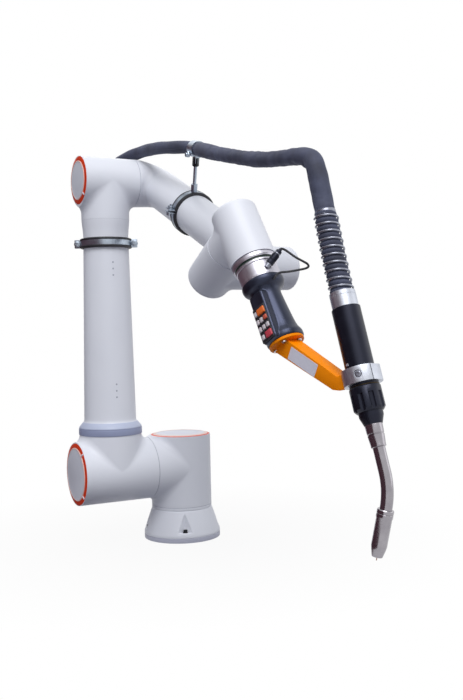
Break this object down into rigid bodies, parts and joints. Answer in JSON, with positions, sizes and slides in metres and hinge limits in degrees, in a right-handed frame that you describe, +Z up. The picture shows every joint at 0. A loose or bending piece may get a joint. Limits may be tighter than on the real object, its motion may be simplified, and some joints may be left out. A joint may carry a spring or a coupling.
{
  "type": "industrial robot arm with welding torch",
  "caption": "Six-axis industrial robot arm with round joint housings, a teach handle and a bracket that holds a MIG welding torch with its hose.",
  "frame": {"origin": "centre of the underside of the round foot, on the first joint's axis", "axes": "+Z up along the first joint's axis; +X along the shoulder, elbow and first wrist axes, with their capped ends towards -X"},
  "size_m": [0.372, 1.1524, 0.9693],
  "materials": {
    "white_enamel": "satin",
    "white_cover": "satin",
    "grey_enamel": "satin",
    "red_orange_ring": "satin",
    "zinc_steel": "bright zinc",
    "black_rubber": "matte",
    "hose_fabric": "woven nylon",
    "turned_aluminium": "turned",
    "black_nylon": "moulded",
    "key_rubber": "matte",
    "orange_powder_coat": "powder coat",
    "spring_steel": "drawn wire",
    "polished_steel": "polished",
    "turned_brass": "turned"
  },
  "bodies": {
    "base": {"base_foot": "white_enamel", "base_rim": "grey_enamel"},
    "shoulder": {"shoulder_housing": "white_enamel", "shoulder_cap": "white_cover", "shoulder_cap_ring": "red_orange_ring"},
    "upper_arm": {"arm_root_housing": "white_enamel", "arm_root_cap": "white_cover", "arm_root_cap_ring": "red_orange_ring", "arm_root_ring": "grey_enamel", "arm_tube": "white_enamel", "elbow_housing": "white_enamel", "elbow_cap": "white_cover", "elbow_cap_ring": "red_orange_ring", "arm_clamp": "zinc_steel", "arm_clamp_liner": "black_rubber", "rear_standoff": "zinc_steel", "hose_connector": "turned_brass", "hose_over_elbow": "hose_fabric"},
    "forearm": {"forearm_tube": "white_enamel", "forearm_clamp": "zinc_steel", "forearm_clamp_liner": "black_rubber", "hose_standoff": "zinc_steel", "wrist_root_housing": "white_enamel", "wrist_root_cap": "white_cover", "wrist_root_cap_ring": "red_orange_ring", "hose_to_torch": "hose_fabric"},
    "wrist_bend": {"wrist_bend_housing": "white_enamel", "wrist_bend_cap": "white_cover", "wrist_bend_cap_ring": "red_orange_ring"},
    "wrist_end": {"wrist_end_housing": "white_enamel", "wrist_end_cap": "white_cover", "wrist_end_cap_ring": "red_orange_ring"},
    "tool": {"output_ring": "turned_aluminium", "output_seal": "black_rubber", "tool_adapter": "turned_aluminium", "teach_handle": "black_nylon", "keypad": "key_rubber", "torch_bracket": "orange_powder_coat", "torch_clamp": "turned_aluminium", "torch_tube": "black_nylon", "torch_sleeve": "turned_aluminium", "spring_guard": "spring_steel", "torch_nut": "black_nylon", "swan_neck": "polished_steel", "gas_nozzle": "polished_steel", "signal_plug": "black_nylon", "signal_lead": "black_rubber"}
  },
  "joints": [
    {"name": "base_turn", "type": "hinge", "parent": "base", "child": "shoulder", "pos_m": [0, 0, 0.086], "axis": [0, 0, 1], "range_deg": [-175, 175]},
    {"name": "shoulder_lift", "type": "hinge", "parent": "shoulder", "child": "upper_arm", "pos_m": [-0.091, 0, 0.18], "axis": [1, 0, 0], "range_deg": [-175, 175]},
    {"name": "elbow_bend", "type": "hinge", "parent": "upper_arm", "child": "forearm", "pos_m": [-0.115, 0, 0.88], "axis": [-1, 0, 0], "range_deg": [-46, 274], "deforming": ["hose_over_elbow"]},
    {"name": "wrist_pitch", "type": "hinge", "parent": "forearm", "child": "wrist_bend", "pos_m": [-0.108, -0.53408, 0.63885], "axis": [1, 0, 0], "range_deg": [-75, 85], "deforming": ["hose_to_torch"]},
    {"name": "wrist_roll", "type": "hinge", "parent": "wrist_bend", "child": "wrist_end", "pos_m": [-0.164, -0.58345, 0.66735], "axis": [0, 0.866, -0.5], "range_deg": [-80, 270], "deforming": ["hose_to_torch"]},
    {"name": "tool_spin", "type": "hinge", "parent": "wrist_end", "child": "tool", "pos_m": [-0.164, -0.63281, 0.69585], "axis": [0.0872, -0.4981, -0.8627], "range_deg": [-200, 150], "deforming": ["hose_to_torch"]}
  ]
}
